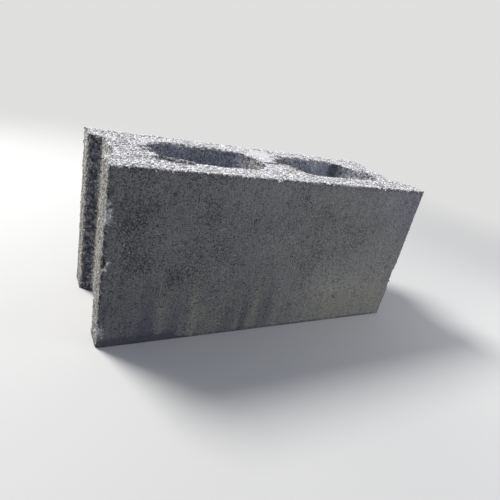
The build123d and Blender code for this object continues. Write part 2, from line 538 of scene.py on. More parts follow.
def struck_bed(at, bare):
    """Relief of the top bed: a mean depth, lumps, coarse grain and pits, smoother where it is bare
    before the trace. The wiped patch is shallow, with arcs height * sin(2 pi r / spacing) at
    distance r from one point. Gives the depth and the pits."""
    opener = rise(at.y, 40, 50) * (1 - rise(at.x, 80, 110))
    opener = np.maximum(rise(at.x, 60, 120) * (at.y < 40), opener)
    pits = 1.6 * hollows(at.place, 5.2, 0.45 + 0.15 * opener, 41)
    pits = pits + 1.3 * hollows(at.place, 8, 0.2 + 0.25 * opener, 47)
    depth = 0.75 + 0.4 * fractal(at.place, 11, 3, 31) + 0.5 * noise(at.place, 2.9, 35) + pits
    depth = depth * (1 - 0.6 * bare) + 0.3 * bare
    x, y, spacing, height = WIPING
    arcs = height * np.sin(2 * pi * np.hypot(at.x - x, at.y - y) / spacing)
    wiped = 0.35 + arcs + 0.2 * noise(at.place, 12, 37)
    return depth * (1 - at.smear) + wiped * at.smear, pits


def core_wall(at):
    """Relief of the cores' walls: a mean depth, lumps, grain, pits and marks drawn out upwards by
    the former. Gives the depth and the pits."""
    pits = 1.6 * hollows(at.place, 6, 0.45, 61)
    depth = 0.7 + 0.6 * fractal(at.place, 9, 3, 51) + 0.45 * noise(at.place, 3.2, 55) + pits
    return depth + 0.3 * noise(at.place * (1, 1, 0.1), 4, 57), pits


def crumbled_edges(at):
    """Depth lost along the edges: lumps and crumbs times exp(-(distance to the edge / reach)^2)
    at the arris, the cores' rims, the uprights and the foot, with less at the rims that the light
    catches, and more on a worn stretch of the front right upright."""
    arris = near(at.from_arris, 2.4) * (0.5 + 1.1 * at.lumps + 2.6 * at.crumbs) * (1 - 0.5 * at.smear)
    rim = near(at.from_rim, 3.0) * (0.2 + 1.3 * at.lumps + 2.4 * at.crumbs)
    rim = rim * (1 - 0.7 * at.smear) * (1 - 0.6 * at.lit_end) * (1 - 0.4 * (at.x > 90))
    upright = near(at.from_upright, 2.6) * (0.5 + 0.5 * at.lumps + 1.6 * at.crumbs)
    upright = upright * (1 - 0.8 * (at.x > 0) * (at.y < 0))
    worn = near(np.hypot(at.x - LENGTH / 2, at.y + WIDTH / 2), 5)
    begins, ends = WORN_STRETCH
    worn = worn * rise(at.z, *begins) * (1 - rise(at.z, *ends))
    foot = near(at.z, 1.6) * (0.3 + 0.5 * np.maximum(at.lumps, 0)) * (1 - at.under)
    return arris + rim + upright + 1.2 * worn * (1 + 0.4 * at.lumps) + foot


def broken_places(at):
    """Depth lost at the broken places of the bed, how broken each point is, and how much painted
    shade darkens its hollows: exp(-(distance / reach)^2) round each place, fading out down the
    wall."""
    lost, broken, dark = 0, 0, 0
    for a, b, reach, fall, darkness in BROKEN:
        round_it = near(np.hypot(at.x - a, at.y - b), reach)
        weight = round_it * near(at.below, 11)
        broken = np.maximum(broken, weight)
        dark = np.maximum(dark, round_it * (1 - rise(at.below, 14, 26)) * darkness)
        lost = lost + fall * weight * (0.5 + 1.1 * at.crumbs + 0.6 * at.lumps)
    return lost, broken, dark


def chipped_upright(at):
    """Depth lost at the chips out of the front left upright, where the chips are, and where the
    dark hole is, from 0 to 1: exp(-(distance / reach)^2) round each."""
    lost, chip = 0, 0
    for a, c, reach, fall in CHIPS:
        weight = near(np.linalg.norm(at.place - (a, -WIDTH / 2, c), axis=1), reach)
        chip = np.maximum(chip, weight)
        lost = lost + fall * weight * (0.6 + 0.8 * at.crumbs + 0.5 * at.lumps)
    a, c, reach = HOLE
    hole = np.minimum(1.5 * near(np.hypot(at.x - a, at.z - c), reach), 1) * (at.y < 6 - WIDTH / 2)
    return lost, chip, hole


def slumped_lips(at):
    """Slumped edges of the cores. Below a slump the wall is pushed into the core, and down to the
    lip's crest it is lifted nearly to the bed, so that it lies as a shelf with a lip at its end.
    Gives the push, the lift, the crest, how much is held up as shelf or lip, the shelf alone, how
    dark it is, and the ledge outside it."""
    slump, dark, ledge = slump_at(at.place)
    slump = slump * (at.core < 2.3)
    held = rise(slump, 0.8, 3)
    crest = near(at.below - LIP_FALL, 0.8) * held
    push = slump * rise(at.below, 0.3, 4.3) * near(np.maximum(at.below - LIP_FALL, 0), 9)
    push = push * (1 + 0.3 * at.lumps)
    lift = held * (at.below - SHELF_FALL + 1.2 * crest + 0.4 * at.lumps)
    lift = lift * (1 - rise(at.below, 5.6, 9))
    return SimpleNamespace(
        push=push, lift=lift, crest=crest, held=held,
        on_shelf=held * (at.below < LIP_FALL + 0.2),
        dark=dark * np.where(at.x > 0, rise(at.below, 1.6, 2.9), 1),
        ledge=ledge * at.bed * (1 - rise(at.core, 12, 15)))


def pale_top(at, broken, lip):
    """Where the concrete is pale, from 0 to 1, partly as dry concrete and partly as painted light
    from above: on the top bed, over its arris and a ragged fringe down the cores' walls, on light
    shelves and on crests, but not at broken places."""
    ragged = 1.5 * noise(at.place, 3.2, 99)
    pale = 1 - rise(at.below - np.maximum(at.inset, 0) + ragged, -0.7, 0.5)
    # The pale fringe stops higher on the cores' end walls that the lamps light, painted darker
    # against that light
    fringe = at.below - np.maximum(at.core, 0) + ragged + 2.2 * at.end_wall + 3.0 * at.lit_end
    pale = np.minimum(pale, 1 - rise(fringe, 2.8, 4.6))
    pale = pale * (1 - 0.9 * rise(broken, 0.2, 0.6))
    pale = pale * (1 - 0.95 * np.maximum(lip.dark * lip.held, lip.ledge))
    pale = np.maximum(pale, (1 - lip.dark) * lip.on_shelf)
    return np.maximum(pale, lip.crest * rise(at.x + 20 * (at.x > 0), -142, -134))


def tone_and_warmth(at, chip, hole):
    """Change of tone, which multiplies the colour by 1 + change, and of warmth, from -2 for painted
    blue shade to 1 for olive: the front face's own, painted light and shade on the cores' walls,
    painted light on the keyway floor, painted blue shade on the ends' flared sides, and the
    tones of the bed, the chips, the hole, painted nearly black as shade, and the stain."""
    tone, warm = front_tone(at.place)
    # Painted light and shade on the cores' walls, set by place and facing against how the lamps fall:
    # the right core lighter, most near its right end, its lit end walls darker, and the left core
    # lighter where its wall turns to the light
    lit_turn = rise(at.facing, 0.60, 0.68) * (1 - rise(at.facing, 0.78, 0.98))
    lit_turn = lit_turn * (at.x > -CORE_MIDDLE) * (at.x < 0)
    core_wall_light_and_shade = 0.3 * rise(at.x, -60, 40) - 0.12 * rise(at.x, 50, 70) - 0.10 * rise(at.x, 104, 116)
    core_wall_light_and_shade = core_wall_light_and_shade + 0.40 * rise(at.x, 132, 142) + 0.8 * lit_turn
    core_wall_light_and_shade = core_wall_light_and_shade - 0.66 * rise(at.facing, 0.4, 0.6) * (at.x > 60)
    tone = tone * at.front + 0.9 * chip + core_wall_light_and_shade * at.inside * (1 - at.bed)
    tone = tone - 0.08 * at.facing_out * (1 - rise(at.z, 30, 150))
    tone = tone - at.bed * (0.08 * rise(-at.x, 150, 165) - 0.03 * rise(at.x, 120, 150))
    # The hole is painted nearly black, as painted shade in its depth
    tone = tone * (1 - hole) - 0.93 * hole
    # Painted light: the keyway floor, which the rear flange shades from the lamps, is made lighter
    tone = tone + 0.55 * at.keyway_floor * rise(at.across, 0.85, 0.97)
    x, z, reach = STAIN
    stain = near(np.hypot(at.x - x, at.z - z), reach) * at.inside * (at.y > 0)
    # Painted casts: cooler on the right core's end walls, and a painted blue shade on the ends'
    # flared sides, which face away from the lamps
    warm = warm * at.front - 0.8 * at.end_wall * (at.x > 60) - 2.0 * (at.end - at.facing_out)
    return tone - 0.25 * stain, warm + 1.6 * stain


def damp_and_shaded_foot(at):
    """1 in the band along the foot, which is damp and darkened with painted contact shade, and 0
    above it. Its top edge wanders, and it stands higher on the left of the front face."""
    low, high = DAMP_AND_SHADE_BAND
    reach = low + (high - low) * (1 - rise(at.x, -128, -100)) * at.front
    wander = 3 * noise(at.place, 6, 105) + 2.5 * noise(at.place, 2.6, 107)
    return 1 - rise(at.z + wander, reach - low, reach + 2)


def relief(place, ways):
    """Depth of the skin below the moulded block at each point, how far it is pushed into a core
    and lifted on a slumped lip, the numbers that its finish reads, and those that only place the
    loose grain. The depth is each face's own relief, blended by the shares of the faces, plus
    what is lost at the edges, the broken places, the chips, the trace, the ledge and the hole."""
    at = surroundings(place, ways)
    moulded, pits, open_grain = moulded_face(at)
    trace, ramp, line, bare = trace_at(place)
    struck, bed_pits = struck_bed(at, bare)
    drawn, core_pits = core_wall(at)
    cast_under = 0.25 + 0.15 * fractal(place, 9, 2, 81)
    depth = moulded * (1 - at.inside) + drawn * at.inside
    depth = depth * (1 - at.bed) + struck * at.bed
    depth = depth * (1 - at.under) + cast_under * at.under

    broken_depth, broken, dark = broken_places(at)
    chip_depth, chip, hole = chipped_upright(at)
    lip = slumped_lips(at)
    trace = trace * at.bed * (1 - 0.3 * noise(place, 6, 75))
    depth = depth + crumbled_edges(at) + broken_depth + chip_depth
    depth = depth + TRACE_DEPTH * TRACE_OPEN * trace + TRACE_STEP * ramp * at.bed
    depth = depth + LEDGE_DEPTH * lip.ledge
    depth = np.maximum(depth, SHALLOWEST) + HOLE_DEPTH * hole

    left = at.x < 0
    edge = np.maximum.reduce([near(at.from_arris, 3.5), near(at.from_rim, 4.5),
                              (0.3 + 0.4 * left) * near(at.from_upright, 3)])
    # Painted shade in recesses: the pits, the trace, the shadow of its step and the crumbled edges
    # darken the colour by this
    hollow = pits * (1 - at.bed) * (1 - at.inside) + bed_pits * at.bed * (1 - at.smear)
    hollow = hollow + core_pits * at.inside * (1 - at.bed) * (1 - 0.5 * (at.x > 0))
    hollow = hollow / 1.8 * (1 - 0.5 * at.keyway_floor) + 0.7 * trace + 1.5 * line * at.bed
    ragged_edge = near(np.hypot(at.x + LENGTH / 2, at.y + WIDTH / 2), 7)
    hollow = hollow + at.crumbs * (0.5 * dark + 0.5 * edge + 0.9 * ragged_edge)
    coarse = np.maximum.reduce([at.bed, at.end, (0.5 - 0.15 * (at.x > 0)) * at.inside,
                                0.7 * edge, 0.3 * open_grain * (1 - at.bed)])
    torn = rise(broken, 0.2, 0.6)
    wall = at.inside * (1 - at.bed)
    tone, warm = tone_and_warmth(at, chip, hole)
    finish = {
        "bed": pale_top(at, broken, lip), "hollow": np.clip(hollow, 0, 1),
        "smear": np.maximum(at.smear, 0.8 * rise(at.x, 92, 110) * wall * (1 - torn)),
        "coarse": coarse * (1 - 0.85 * at.smear), "core": np.maximum(wall, torn),
        "end": at.facing_out, "end_wall": at.end_wall, "open_grain": open_grain,
        "upright": near(at.from_upright, 6) * (at.x > 0),
        # Painted shade in the hollows of broken places, in patches
        "gone": np.minimum(1.6 * dark, 1) * rise(fractal(place, 6, 2, 115), -1.0, -0.5),
        "shelf": np.maximum(lip.dark * lip.on_shelf, lip.ledge) * (1 - lip.crest),
        "tone_change": tone, "warm": warm, "foot": damp_and_shaded_foot(at)}
    loose = {"edge": edge, "crest": lip.crest, "chip": chip, "broken": broken, "bare": bare * at.bed}
    return depth, lip.push, lip.lift, finish, loose


# Loose and half-buried grains

GRAIN_RING = 5  # points round each of a grain's two rings
RING_LATITUDE = 26.6  # degrees north and south at which the rings lie
GRAIN_SIZES = (0.35, 1.9)  # least and greatest radius
GRAIN_SPREAD = 0.34  # spread of the logarithm of the radius
GRAIN_UNEVEN = (0.72, 1.2)  # least and greatest share of its radius that a point has
GRAIN_STRETCH = (0.7, 1.2)  # least and greatest stretch along each axis
GRAIN_RISE = (-0.35, 0.45)  # how far the middle stands above the surface, in radii
GRAIN_JITTER = 0.7  # how far a grain strays along the surface from the point it was picked at
GRAIN_MAP_FILL = 0.9  # share of its square on the flat map that a grain fills
GRAIN_MAP_MARGIN = 0.05
INSIDE_BOX = 0.05  # how far inside the block's outline all grains stay

# Sorts of loose grain, as (name, how many, mean logarithm of the radius, seed)
GRAIN_SORTS = [("surface_grains", 8500, -0.35, 7), ("rim_crumbs", 1300, -0.05, 8),
               ("bed_grit", 7500, 0.12, 9)]


def grain_points():
    """Points of a round grain of radius 1: a pole, two rings (cos turn * cos latitude,
    sin turn * cos latitude, sin latitude), the second half a step round, and a pole."""
    step = np.arange(2 * GRAIN_RING) % GRAIN_RING + np.repeat([0, 0.5], GRAIN_RING)
    turn = 2 * pi * step / GRAIN_RING
    latitude = np.radians(np.repeat([RING_LATITUDE, -RING_LATITUDE], GRAIN_RING))
    level = np.cos(latitude)
    ring = np.stack([np.cos(turn) * level, np.sin(turn) * level, np.sin(latitude)], 1)
    return np.concatenate([[[0, 0, 1]], ring, [[0, 0, -1]]])


def grain_faces():
    """Triangles between those points, in four belts from pole to pole, and the places of their
    corners on a flat map, where each belt is a strip."""
    k = np.arange(GRAIN_RING)
    after = (k + 1) % GRAIN_RING
    top, upper, lower, bottom = 0 * k, 1 + k, 1 + GRAIN_RING + k, 0 * k + 2 * GRAIN_RING + 1
    upper_next, lower_next = 1 + after, 1 + GRAIN_RING + after
    belts = [(top, upper, upper_next), (upper, lower, upper_next),
             (lower, lower_next, upper_next), (lower, bottom, lower_next)]
    flat_belts = [(k + 0.5, k, k + 1), (k, k + 0.5, k + 1),
                  (k + 0.5, k + 1.5, k + 1), (k + 0.5, k + 1, k + 1.5)]
    faces, flat = (np.concatenate([np.stack(belt, 1) for belt in all_four])
                   for all_four in (belts, flat_belts))
    tall = np.repeat([[3, 2, 2], [2, 1, 2], [1, 1, 2], [1, 0, 1]], GRAIN_RING, 0)
    return faces, np.stack([flat / (GRAIN_RING + 0.5), tall / 3], -1) * GRAIN_MAP_FILL


def grains(place, ways, weight, count, mean_log, seed):
    """Angular grains set into the surface at points picked by weight. Each is the round grain with
    every point's radius varied, stretched and turned at random, and sunk by about half. Gives
    points, triangles, flat map, a tone for each point and each grain's place in the skin."""
    rng = np.random.default_rng(seed)
    at = rng.choice(len(place), count, p=weight / weight.sum())
    radius = np.clip(rng.lognormal(mean_log, GRAIN_SPREAD, count), *GRAIN_SIZES)
    unit = grain_points()
    uneven = rng.uniform(*GRAIN_UNEVEN, (count, len(unit), 1))
    shape = unit * uneven * rng.uniform(*GRAIN_STRETCH, (count, 1, 3))
    turned, _ = np.linalg.qr(rng.normal(size=(count, 3, 3)))
    turned = turned * np.sign(np.linalg.det(turned))[:, None, None]
    shape = np.einsum("nij,nkj->nki", turned, shape) * radius[:, None, None]
    jitter = rng.normal(0, GRAIN_JITTER, (count, 3))
    jitter = jitter - (jitter * ways[at]).sum(1, keepdims=True) * ways[at]
    middle = place[at] + jitter + ways[at] * (radius * rng.uniform(*GRAIN_RISE, count))[:, None]
    limit = np.array([LENGTH / 2, WIDTH / 2, HEIGHT]) - INSIDE_BOX
    points = np.clip(middle[:, None] + shape, (-limit[0], -limit[1], INSIDE_BOX), limit)

    one_grain, corner = grain_faces()
    faces = one_grain[None] + len(unit) * np.arange(count)[:, None, None]
    squares = int(np.ceil(np.sqrt(count)))
    home = np.stack([np.arange(count) % squares, np.arange(count) // squares], 1)
    maps = (home[:, None, None] + corner[None] + GRAIN_MAP_MARGIN) / squares
    tone = np.repeat(rng.uniform(0, 1, count), len(unit))
    return points.reshape(-1, 3), faces.reshape(-1, 3), maps.reshape(-1, 3, 2), tone, at


def grain_weights(surface, finish, loose):
    """How likely each sort of grain is at each point of the skin: over all the bed, the edges and
    the ends, at crests, breaks and chips, and on the bed alone, with fewer on the wiped patch,
    before the trace and at dark places."""
    clear = (1 - 0.8 * finish["smear"]) * (1 - loose["bare"]) * (1 - finish["gone"])
    clear = clear * (1 - 0.6 * loose["broken"]) * np.clip(1 + 2 * finish["tone_change"], 0, 1)
    over_all = finish["bed"] * (1 - 0.9 * finish["smear"])
    over_all = over_all + 1.6 * loose["edge"] * (1 - 0.7 * finish["upright"])
    over_all = over_all + 0.35 * finish["end"] + 0.03
    at_breaks = 1.5 * loose["crest"] + 0.5 * loose["broken"] + 1.6 * loose["chip"]
    on_bed = finish["bed"] ** 3 * (1 - finish["smear"]) * (surface[:, 2] > HEIGHT - 3)
    return over_all * clear, at_breaks**2 * clear, on_bed * clear


def piece(name, points, faces, maps, material, fields):
    """A mesh object in metres from arrays, with its flat map and one number per point and field."""
    mesh = bpy.data.meshes.new(name)
    mesh.from_pydata(points * MM, [], faces)
    layer = mesh.uv_layers.new(name="OFBake")
    layer.data.foreach_set("uv", maps.astype(np.float32).ravel())
    for label, values in fields.items():
        layer = mesh.attributes.new(label, "FLOAT", "POINT")
        layer.data.foreach_set("value", values.astype(np.float32))
    mesh.polygons.foreach_set("use_smooth", np.full(len(faces), faces.shape[1] == 4))
    mesh.materials.append(material)
    mesh.update()
    made = bpy.data.objects.new(name, mesh)
    bpy.context.scene.collection.objects.link(made)
    return made


def skin_and_grains():
    """The block's skin, moved inwards by its relief, and the grains that lie on it."""
    place, ways, quads, maps = block_skin()
    depth, push, lift, finish, loose = relief(place, ways)
    surface = place - ways * depth[:, None]
    across = np.maximum(np.linalg.norm(ways[:, :2], axis=1), 0.01)
    across = ways[:, :2] / across[:, None]
    surface[:, :2] += across * push[:, None]
    surface[:, 2] = np.clip(surface[:, 2] + lift, SHALLOWEST, HEIGHT - SHALLOWEST)
    made = [piece("block_skin", surface, quads, maps, moulded_concrete(), finish)]

    grain_material = loose_grain()
    pale = np.maximum.reduce([finish["bed"], 0.9 * loose["chip"], 0.55 * finish["end"],
                              0.3 * loose["broken"]])
    weights = grain_weights(surface, finish, loose)
    for (name, count, mean_log, seed), weight in zip(GRAIN_SORTS, weights):
        points, faces, maps, tone, at = grains(surface, ways, weight, count, mean_log, seed)
        each = len(points) // count
        # The grains darken where the tone falls, and so take the painted shade of the hole and of the
        # cores' walls
        tone = tone * np.repeat(1 + 2 * np.minimum(finish["tone_change"][at], 0), each)
        values = {"tone": tone, "bed": np.repeat(pale[at], each)}
        made.append(piece(name, points, faces, maps, grain_material, values))
    return made


# Shader nodes

def node(tree, kind, inputs=(), **settings):
    """Adds a shader node. Its inputs, by name or number, are given as values or as sockets."""
    made = tree.nodes.new(kind)
    for name, value in settings.items():
        setattr(made, name, value)
    for name, value in dict(inputs).items():
        if isinstance(value, bpy.types.NodeSocket):
            tree.links.new(value, made.inputs[name])
        else:
            made.inputs[name].default_value = value
    return made


def colour_mix(tree, factor, first, second, how="MIX"):
    """The first colour at factor 0 and the second at 1, or the first changed by the second."""
    inputs = {0: factor, 6: first, 7: second}
    return node(tree, "ShaderNodeMix", inputs, data_type="RGBA", blend_type=how).outputs[2]


def multiplied(tree, colour, by):
    """A colour times another colour, or times a number from a socket."""
    return colour_mix(tree, 1.0, colour, by, "MULTIPLY")


def maths(tree, how, first, second=0.0):
    """One sum or comparison of two numbers, named as Blender names it."""
    return node(tree, "ShaderNodeMath", {0: first, 1: second}, operation=how).outputs[0]


def times(tree, first, second):
    """Two numbers multiplied."""
    return maths(tree, "MULTIPLY", first, second)


def between(tree, value, low, high, start=0.0, stop=1.0):
    """`start` where the value is below `low`, `stop` above `high`, and a smooth step between."""
    made = node(tree, "ShaderNodeMapRange", {0: value, 1: low, 2: high, 3: start, 4: stop},
                interpolation_type="SMOOTHSTEP")
    return made.outputs[0]


def cloud(tree, place, scale, detail=2.0, rough=0.55, stretch=None):
    """Noise from 0 to 1 with `scale` lumps to the metre, squeezed along the axes by `stretch`."""
    if stretch:
        place = node(tree, "ShaderNodeMapping", {"Vector": place, "Scale": stretch}).outputs[0]
    values = {"Vector": place, "Scale": scale, "Detail": detail, "Roughness": rough}
    return node(tree, "ShaderNodeTexNoise", values).outputs[0]


def wobbled(tree, place, scale, reach):
    """The place moved by up to `reach` metres by noise, so that cells of it look less regular."""
    bend = node(tree, "ShaderNodeTexNoise", {"Vector": place, "Scale": scale, "Detail": 1})
    inputs = {0: bend.outputs["Color"], 1: (reach,) * 3, 2: place}
    return node(tree, "ShaderNodeVectorMath", inputs, operation="MULTIPLY_ADD").outputs[0]


def cells(tree, place, scale, what="F1"):
    """Cells of space, `scale` to the metre: the distance from a cell's middle, or from its seam,
    and a random colour for each cell."""
    return node(tree, "ShaderNodeTexVoronoi", {"Vector": place, "Scale": scale}, feature=what).outputs


def lot(tree, colour, channel):
    """One channel of a random colour, as a random number from 0 to 1."""
    return node(tree, "ShaderNodeSeparateColor", {0: colour}).outputs[channel]


def specks(tree, place, scale, inner, outer, share):
    """Dark specks about the middles of cells of space, in that share of the cells."""
    cell = cells(tree, place, scale)
    near_middle = between(tree, cell["Distance"], inner, outer, 1.0, 0.0)
    return times(tree, near_middle, maths(tree, "LESS_THAN", lot(tree, cell["Color"], 1), share))


def field(tree, name):
    """A number that the mesh carries at each point."""
    return node(tree, "ShaderNodeAttribute", attribute_name=name).outputs["Fac"]


def new_material(name):
    """An empty material: itself, its shader tree and the place in the block in metres."""
    material = bpy.data.materials.new(name)
    material.use_nodes = True
    tree = material.node_tree
    tree.nodes.clear()
    return material, tree, node(tree, "ShaderNodeTexCoord").outputs["Object"]


def finished(tree, colour, rough, normal, shine):
    """Ends a material in a shader with that colour, roughness, bump and shine."""
    shader = node(tree, "ShaderNodeBsdfPrincipled", {
        "Base Color": colour, "Roughness": rough, "Normal": normal, "Specular IOR Level": shine})
    node(tree, "ShaderNodeOutputMaterial", {"Surface": shader.outputs[0]})


# Concrete

# Colours of the concrete, where a pair is the darkest and the lightest of a cloudy tone
# The walls' greys are dark partly as damp concrete and partly as painted shade, and the top bed's
# greys pale partly as dry concrete and partly as painted light
FACE_GREYS = [(0.190, 0.189, 0.198, 1), (0.198, 0.202, 0.206, 1)]
OLIVE = (0.225, 0.222, 0.195, 1)
WET_STREAK = (0.110, 0.114, 0.132, 1)
# Painted shade along the rounded right uprights, which turn away from the lamps
UPRIGHT_EDGE_SHADE = (0.125, 0.118, 0.150, 1)
END_FACE = (0.485, 0.47, 0.425, 1)
# Painted light and shade: the cores' long walls, which lie in shade, are painted lighter and bluer,
# and their end walls, which the lamps light, darker and more neutral
CORE_SIDE_PAINTED_LIGHTER = (0.435, 0.448, 0.508, 1)
CORE_END_PAINTED_DARKER = (0.38, 0.378, 0.368, 1)
LOW_SHELF = (0.150, 0.150, 0.128, 1)
BED_GREYS = [(0.69, 0.682, 0.690, 1), (0.89, 0.880, 0.890, 1)]
WIPED = (0.49, 0.49, 0.503, 1)
PALEST = (0.95, 0.95, 0.96, 1)
# Painted shade for the hollows of broken places
BROKEN_HOLLOW_SHADE = (0.060, 0.054, 0.078, 1)
# Damp and painted contact shade along the foot
DAMP_AND_SHADED_FOOT = (0.072, 0.073, 0.098, 1)
GRAIN_GREYS = [(0.10, 0.10, 0.11, 1), (0.30, 0.295, 0.285, 1)]
GRAIN_PALES = [(0.28, 0.275, 0.285, 1), (0.96, 0.95, 0.96, 1)]

# Colours that others are multiplied by: cool and olive casts, a painted blue shade, and painted shade
# at the bottoms of pits
COOL = (0.948, 0.966, 1.09, 1)
WARM = (1.03, 1.03, 0.90, 1)
SHADE_BLUE = (0.84, 0.87, 1.12, 1)
PIT_BOTTOM_SHADE = (0.22, 0.22, 0.26, 1)

# Cells of space to the metre: grains of sand, dark specks and coarse stones
SAND_CELLS = 460
SPECK_CELLS = 370
STONE_CELLS = 190


def wall_colour(tree, place, on, tone):
    """Colour of the outer faces and the cores' walls: grey with a cloudy tone and upright draw
    marks, and with olive and wet streaks low down, and painted shade along the right uprights.
    The ends and the slumped shelves have colours of their own; the cores' walls are painted
    lighter on their long sides, which lie in shade, and darker on their ends, which the lamps
    light. All of it is cast warm, cool or, as painted shade, blue."""
    low = between(tree, node(tree, "ShaderNodeSeparateXYZ", {0: place}).outputs[2],
                  0.035, 0.085, 1.0, 0.0)
    damp = between(tree, cloud(tree, place, 44, 2, 0.5, (1, 1, 0.12)), 0.42, 0.60)
    streak = between(tree, cloud(tree, place, 70, 3, 0.6, (1, 1, 0.08)), 0.50, 0.62)
    draw = between(tree, cloud(tree, place, 430, 2, 0.6, (1, 1, 0.09)), 0.3, 0.7, 0.92, 1.08)
    grey = colour_mix(tree, between(tree, tone, 0.35, 0.65), *FACE_GREYS)
    grey = colour_mix(tree, times(tree, times(tree, damp, low), 0.25), grey, OLIVE)
    grey = colour_mix(tree, times(tree, times(tree, streak, low), 0.25), grey, WET_STREAK)
    grey = multiplied(tree, grey, draw)
    # Painted shade along the right uprights
    grey = colour_mix(tree, times(tree, on.upright, 0.12), grey, UPRIGHT_EDGE_SHADE)
    grey = colour_mix(tree, on.end, grey, END_FACE)
    grey = colour_mix(tree, on.core, grey, colour_mix(tree, on.end_wall, CORE_SIDE_PAINTED_LIGHTER, CORE_END_PAINTED_DARKER))
    grey = colour_mix(tree, on.shelf, grey, LOW_SHELF)
    cast = colour_mix(tree, between(tree, on.warm, -1.0, 1.0), COOL, WARM)
    # Painted blue shade where the warmth is below -1, on the ends' flared sides
    cast = colour_mix(tree, between(tree, on.warm, -2.0, -1.0, 1.0, 0.0), cast, SHADE_BLUE)
    return multiplied(tree, grey, cast)


def grain_shades(tree, bent, on, sand):
    """What the colour is multiplied by for its grains of sand: 1 + 2 * (the cell's random number
    - 0.5) * contrast, times fine dust. The contrast is greatest where the grain is coarse."""
    grain = lot(tree, cells(tree, bent, SAND_CELLS)["Color"], 0)
    contrast = between(tree, on.coarse, 0.0, 1.0, 0.08, 0.80)
    uneven = times(tree, maths(tree, "SUBTRACT", grain, 0.5), contrast)
    speckle = maths(tree, "ADD", times(tree, uneven, 2.0), 1.0)
    return times(tree, speckle, between(tree, sand, 0.3, 0.7, 0.68, 1.32))


def pore_shade(tree, place, bent, on, seam):
    """How much painted shade the pores get, from 0 to 1, and that of the winding ones alone. They are
    winding pores, specks, the relief's pits, gaps between coarse grains of sand and, in crowds
    where the grain is open, cracks round coarse stones, all darkened as painted shade in their
    hollows. Wiped concrete shows few of them."""
    grit = cloud(tree, place, 240, 2, 0.6)
    share = between(tree, on.open_grain, 0.1, 0.9, 0.15, 0.8)
    holes = specks(tree, bent, SPECK_CELLS, 0.15, 0.42, share)
    openness = times(tree, on.open_grain, 0.16)
    winding = between(tree, maths(tree, "ADD", cloud(tree, bent, 680, 1, 0.5), openness), 0.60, 0.665)
    crowded = between(tree, cloud(tree, place, 62, 2, 0.6), 0.42, 0.58)
    winding = times(tree, winding, between(tree, crowded, 0.0, 1.0, 0.80, 1.0))
    stones = cells(tree, bent, STONE_CELLS, "DISTANCE_TO_EDGE")["Distance"]
    crowded = times(tree, crowded, between(tree, on.open_grain, 0.35, 0.75, 0.12, 0.95))
    cracks = times(tree, between(tree, stones, 0.03, 0.12, 1.0, 0.0), crowded)
    cracks = times(tree, cracks, between(tree, grit, 0.48, 0.58))
    gaps = times(tree, between(tree, seam, 0.02, 0.16, 1.0, 0.0), on.coarse)
    gaps = times(tree, gaps, between(tree, grit, 0.4, 0.6, 0.1, 0.9))
    pits = times(tree, on.hollow, between(tree, on.bed, 0.0, 1.0, 0.62, 0.95))
    dark = times(tree, winding, 0.85)
    for more in (times(tree, holes, 0.55), pits, gaps, cracks):
        dark = maths(tree, "MAXIMUM", dark, more)
    return times(tree, dark, between(tree, on.smear, 0.0, 1.0, 1.0, 0.2)), winding


def moulded_concrete():
    """Block concrete: grey walls, damp and partly darkened as painted shade, a paler and drier top
    bed that is partly painted light, and a smooth wiped patch. Grains of sand are cells of space,
    each with its own tone, and they show most where the grain is coarse. Over them lie painted
    shade in the pores and pits, painted shade in the broken places' hollows and a damp foot
    with painted contact shade."""
    material, tree, place = new_material("moulded_concrete")
    on = SimpleNamespace(**{name: field(tree, name) for name in (
        "bed", "hollow", "smear", "core", "coarse", "end", "open_grain", "upright", "end_wall",
        "gone", "shelf", "foot", "tone_change", "warm")})
    sand = cloud(tree, place, 900, 2, 0.7)
    tone = cloud(tree, place, 38, 4, 0.6)
    bent = wobbled(tree, place, 500, 0.0016)
    seam = cells(tree, bent, SAND_CELLS, "DISTANCE_TO_EDGE")["Distance"]

    pale = colour_mix(tree, between(tree, tone, 0.3, 0.7), *BED_GREYS)
    pale = colour_mix(tree, times(tree, on.smear, 0.9), pale, WIPED)
    base = colour_mix(tree, on.bed, wall_colour(tree, place, on, tone), pale)
    base = multiplied(tree, base, maths(tree, "ADD", on.tone_change, 1.0))
    base = multiplied(tree, base, grain_shades(tree, bent, on, sand))
    base = colour_mix(tree, 1.0, base, PALEST, "DARKEN")
    # Painted shade in pores, pits and the gaps between grains
    dark, winding = pore_shade(tree, place, bent, on, seam)
    base = colour_mix(tree, dark, base, multiplied(tree, base, PIT_BOTTOM_SHADE))
    base = colour_mix(tree, times(tree, on.gone, 0.9), base, BROKEN_HOLLOW_SHADE)
    base = colour_mix(tree, times(tree, on.foot, 0.8), base, DAMP_AND_SHADED_FOOT)

    domes = times(tree, times(tree, maths(tree, "MINIMUM", seam, 0.35), on.coarse), 2.2)
    height = maths(tree, "ADD", domes, times(tree, sand, 0.5))
    height = maths(tree, "SUBTRACT", height, times(tree, winding, 0.8))
    strength = between(tree, on.smear, 0.0, 1.0, 0.9, 0.25)
    bump = node(tree, "ShaderNodeBump", {"Height": height, "Distance": 0.0012, "Strength": strength})
    rough = between(tree, cloud(tree, place, 11, 2), 0.4, 0.65, 0.92, 0.76)
    rough = maths(tree, "SUBTRACT", rough, times(tree, on.smear, 0.2))
    finished(tree, base, rough, bump.outputs[0], 0.3)
    return material


